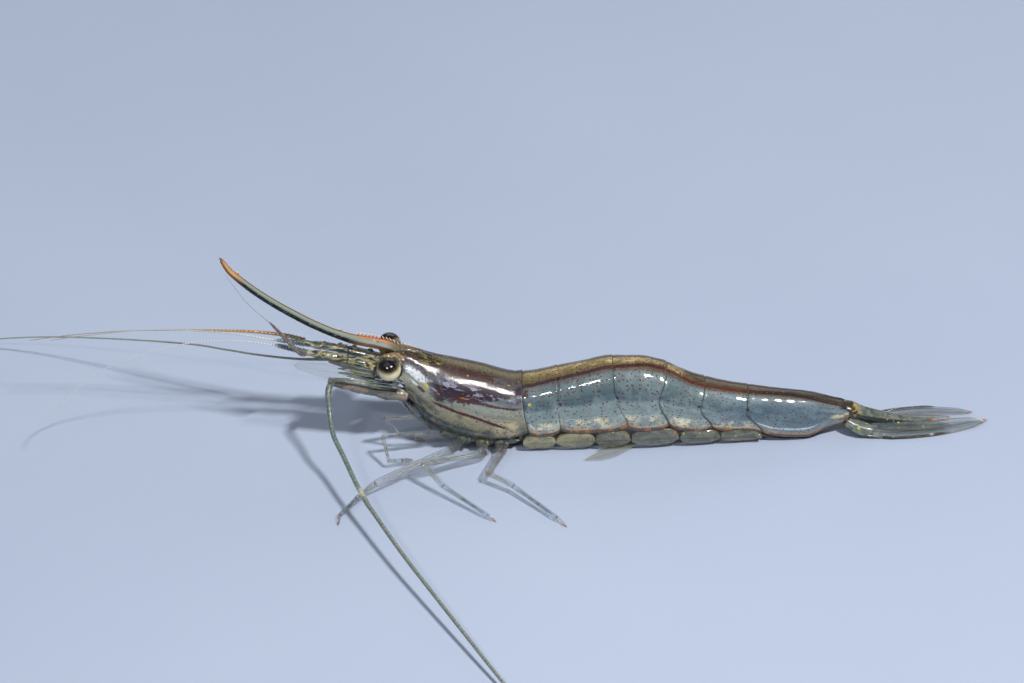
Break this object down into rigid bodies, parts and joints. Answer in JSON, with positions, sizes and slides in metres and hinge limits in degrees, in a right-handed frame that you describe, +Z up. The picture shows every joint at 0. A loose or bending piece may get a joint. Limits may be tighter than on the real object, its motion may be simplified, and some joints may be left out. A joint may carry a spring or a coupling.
{
  "type": "shrimp",
  "caption": "Still life-size model of a long-nosed freshwater shrimp lying on its belly, with upturned rostrum, long feelers, walking legs and tail fan.",
  "frame": {"origin": "middle of the flat under the chest, where the body rests on the floor", "axes": "+X along the body towards the tail, -Y to the animal's left, +Z up from the floor"},
  "size_m": [0.069, 0.043, 0.0134],
  "materials": {
    "shell": "wet, glossy, translucent blue-grey shell with red-brown dots and dark stripes",
    "rostrum": "glossy, greenish with an orange upper edge and tip and a near-black lower edge",
    "eye": "glossy ball, near-black above and cream below",
    "feelers": "clear glassy blue-green with yellow-gold rings",
    "legs": "clear glassy grey tubes with orange joints and pink toe tips",
    "soft_parts": "wet translucent yellow-grey",
    "tail_fan": "thin wet dark green-grey fins with orange-brown borders"
  },
  "bodies": {
    "root": {"carapace": "shell", "abdomen_1": "shell", "abdomen_2": "shell", "abdomen_3": "shell", "abdomen_4": "shell", "abdomen_5": "shell", "abdomen_6": "shell", "chest": "soft_parts", "rostrum": "rostrum", "eye_left": "eye", "eyestalk_left": "soft_parts", "antennule_left": "feelers", "antenna_base_left": "feelers", "antenna_scale_left": "feelers", "antenna_feeler_left": "feelers", "mouth_part_left": "soft_parts", "eye_right": "eye", "eyestalk_right": "soft_parts", "antennule_right": "feelers", "antenna_base_right": "feelers", "antenna_scale_right": "feelers", "antenna_feeler_right": "feelers", "mouth_part_right": "soft_parts", "feeler_inner_left": "feelers", "feeler_outer_left": "feelers", "feeler_inner_right": "feelers", "feeler_outer_right": "feelers", "leg_1_left": "legs", "leg_2_left": "legs", "leg_3_left": "legs", "leg_4_left": "legs", "leg_5_left": "legs", "leg_1_right": "legs", "leg_2_right": "legs", "leg_3_right": "legs", "leg_4_right": "legs", "leg_5_right": "legs", "swimming_leg_1_left": "soft_parts", "swimming_leg_2_left": "soft_parts", "swimming_leg_3_left": "soft_parts", "swimming_leg_4_left": "soft_parts", "swimming_leg_5_left": "soft_parts", "swimming_leg_1_right": "soft_parts", "swimming_leg_2_right": "soft_parts", "swimming_leg_3_right": "soft_parts", "swimming_leg_4_right": "soft_parts", "swimming_leg_5_right": "soft_parts", "telson": "tail_fan", "tail_fin_base_left": "tail_fan", "tail_fin_inner_left": "tail_fan", "tail_fin_outer_left": "tail_fan", "tail_fin_base_right": "tail_fan", "tail_fin_inner_right": "tail_fan", "tail_fin_outer_right": "tail_fan"}
  },
  "joints": []
}
